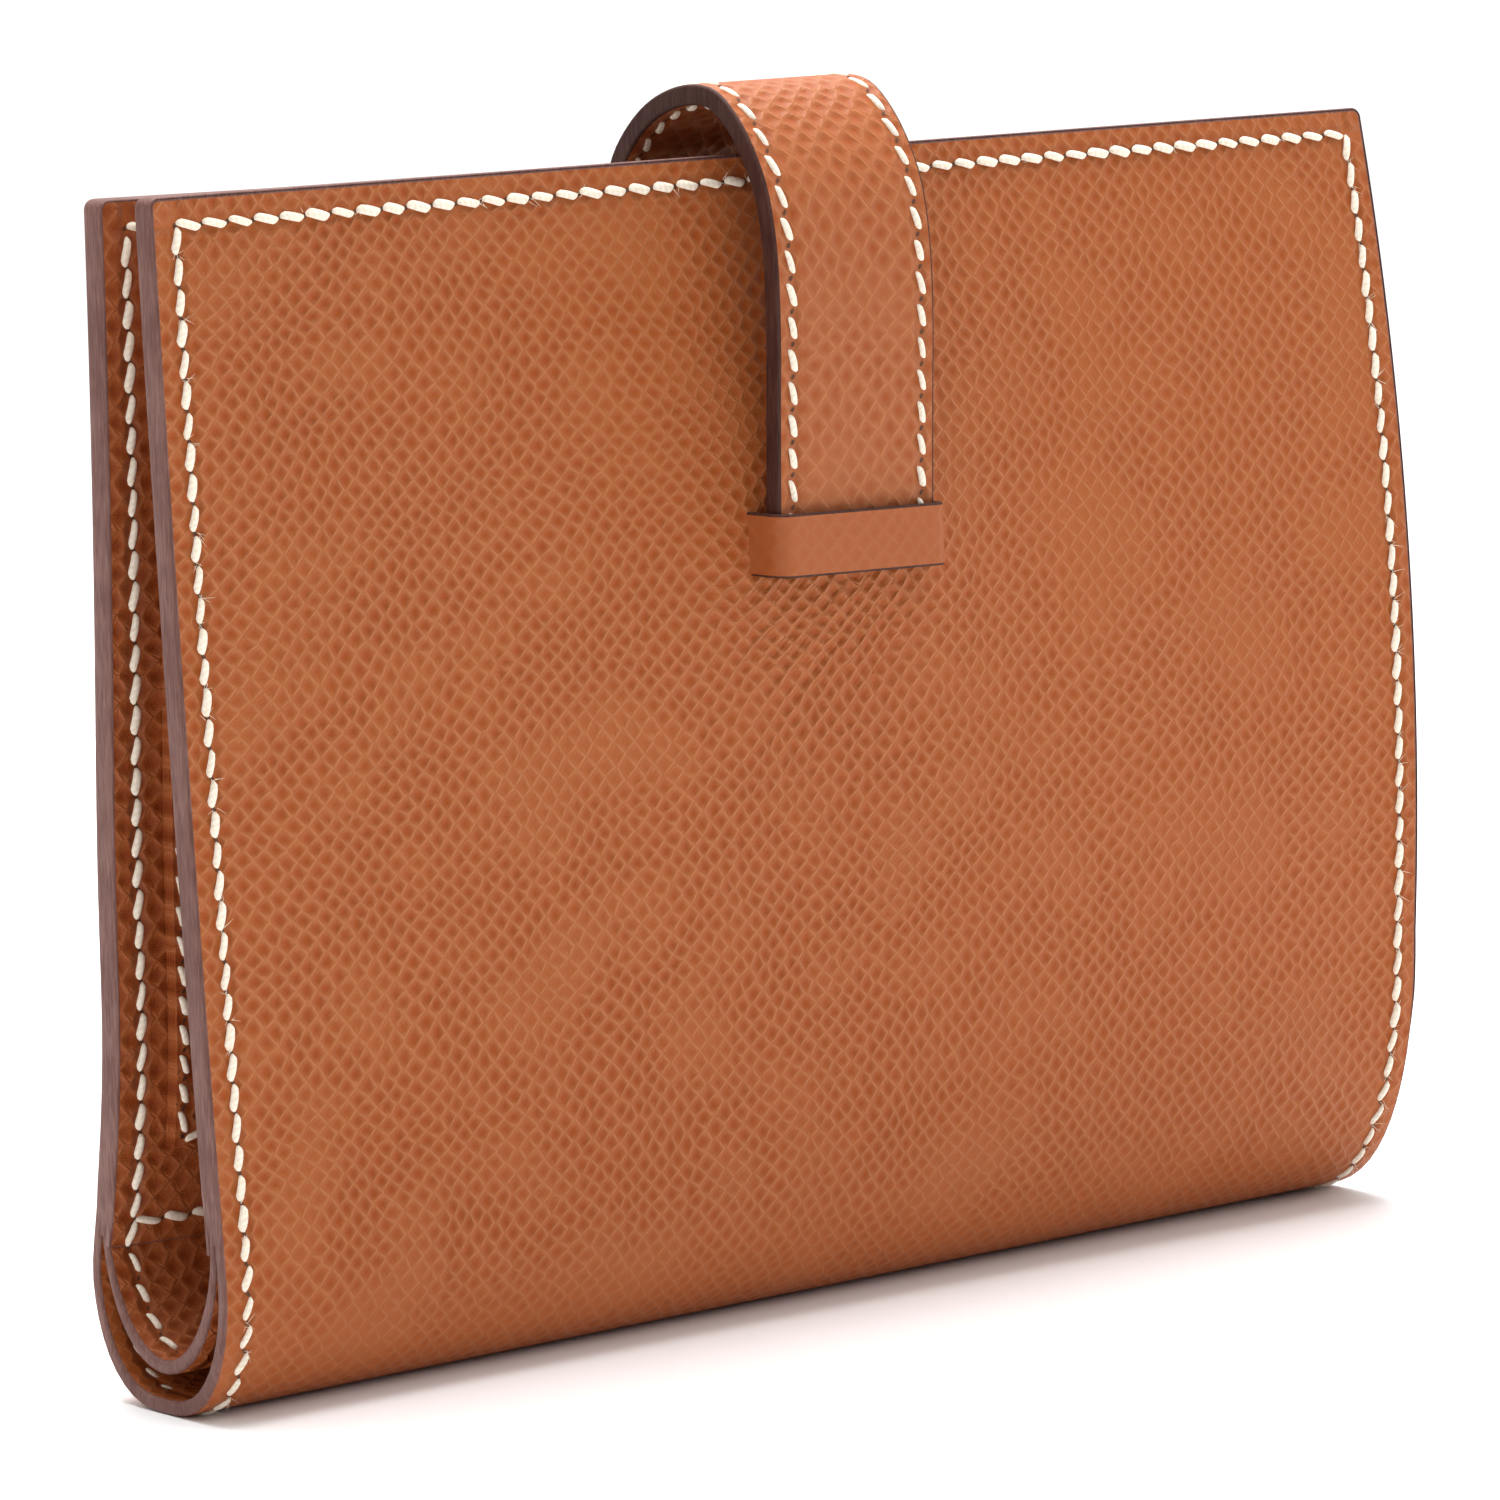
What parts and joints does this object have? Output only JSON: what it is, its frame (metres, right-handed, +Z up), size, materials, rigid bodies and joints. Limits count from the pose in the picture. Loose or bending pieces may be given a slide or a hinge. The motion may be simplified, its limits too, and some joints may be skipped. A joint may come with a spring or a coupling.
{
  "type": "bifold wallet",
  "caption": "Compact bifold wallet in grained leather, shut by a narrow strap that arches over the open edges; covers and strap open.",
  "frame": {"origin": "centre of the flat strip along the fold that the shut wallet stands on", "axes": "+X along the fold, +Y from the cover with the strap's fixed end towards the cover with the keeper, +Z up towards the open edges"},
  "size_m": [0.125, 0.0208, 0.1016],
  "materials": {
    "grained_leather": "embossed grain, semi-matte",
    "smooth_leather": "smooth, semi-matte",
    "lining_leather": "embossed grain, matte",
    "thread": "waxed thread"
  },
  "bodies": {
    "spine": {"cover_fold_near": "grained_leather", "cover_fold_far": "grained_leather", "lining_fold_near": "lining_leather", "lining_fold_far": "lining_leather", "fold_thread_left": "thread", "fold_thread_right": "thread", "lining_thread_left": "thread", "lining_thread_right": "thread"},
    "near_cover": {"cover_near": "grained_leather", "lining_near": "lining_leather", "pocket_panel_near": "grained_leather", "cover_near_thread": "thread", "pocket_near_thread": "thread", "strap_bar": "smooth_leather", "strap_base": "grained_leather", "strap_base_thread": "thread"},
    "far_cover": {"cover_far": "grained_leather", "lining_far": "lining_leather", "pocket_panel_far": "grained_leather", "cover_far_thread": "thread", "pocket_far_thread": "thread", "card_slot_1": "lining_leather", "card_slot_2": "lining_leather", "card_slot_3": "lining_leather", "card_slot_4": "lining_leather", "card_slot_thread": "thread", "tongue_keeper": "smooth_leather"},
    "strap_1": {"strap_link_1": "grained_leather"},
    "strap_2": {"strap_link_2": "grained_leather"},
    "strap_3": {"strap_link_3": "grained_leather"},
    "strap_4": {"strap_link_4": "grained_leather"},
    "tongue": {"strap_tongue": "grained_leather", "strap_tongue_thread": "thread"}
  },
  "joints": [
    {"name": "near_cover_hinge", "type": "hinge", "parent": "spine", "child": "near_cover", "pos_m": [0, -0.00748, 0.00153], "axis": [1, 0, 0], "range_deg": [0, 86]},
    {"name": "far_cover_hinge", "type": "hinge", "parent": "spine", "child": "far_cover", "pos_m": [0, 0.00757, 0.00158], "axis": [-1, 0, 0], "range_deg": [0, 88]},
    {"name": "strap_open", "type": "hinge", "parent": "near_cover", "child": "strap_1", "pos_m": [0, -0.0115, 0.094], "axis": [1, 0, 0], "range_deg": [0, 35], "deforming": ["strap_link_1"]},
    {"name": "strap_bend_2", "type": "hinge", "parent": "strap_1", "child": "strap_2", "pos_m": [0, -0.00927, 0.09937], "axis": [1, 0, 0], "range_deg": [0, 35], "deforming": ["strap_link_2"]},
    {"name": "strap_bend_3", "type": "hinge", "parent": "strap_2", "child": "strap_3", "pos_m": [0, -0.002, 0.1016], "axis": [1, 0, 0], "range_deg": [0, 35], "deforming": ["strap_link_3"]},
    {"name": "strap_bend_4", "type": "hinge", "parent": "strap_3", "child": "strap_4", "pos_m": [0, 0.00527, 0.09937], "axis": [1, 0, 0], "range_deg": [0, 35], "deforming": ["strap_link_4"]},
    {"name": "strap_bend_5", "type": "hinge", "parent": "strap_4", "child": "tongue", "pos_m": [0, 0.0075, 0.094], "axis": [1, 0, 0], "range_deg": [0, 35], "deforming": ["strap_tongue", "strap_tongue_thread"]}
  ],
  "couplings": [
    {"joint": "strap_bend_2", "follows": "strap_open", "ratio": 1},
    {"joint": "strap_bend_3", "follows": "strap_open", "ratio": 1},
    {"joint": "strap_bend_4", "follows": "strap_open", "ratio": 1},
    {"joint": "strap_bend_5", "follows": "strap_open", "ratio": 1}
  ]
}
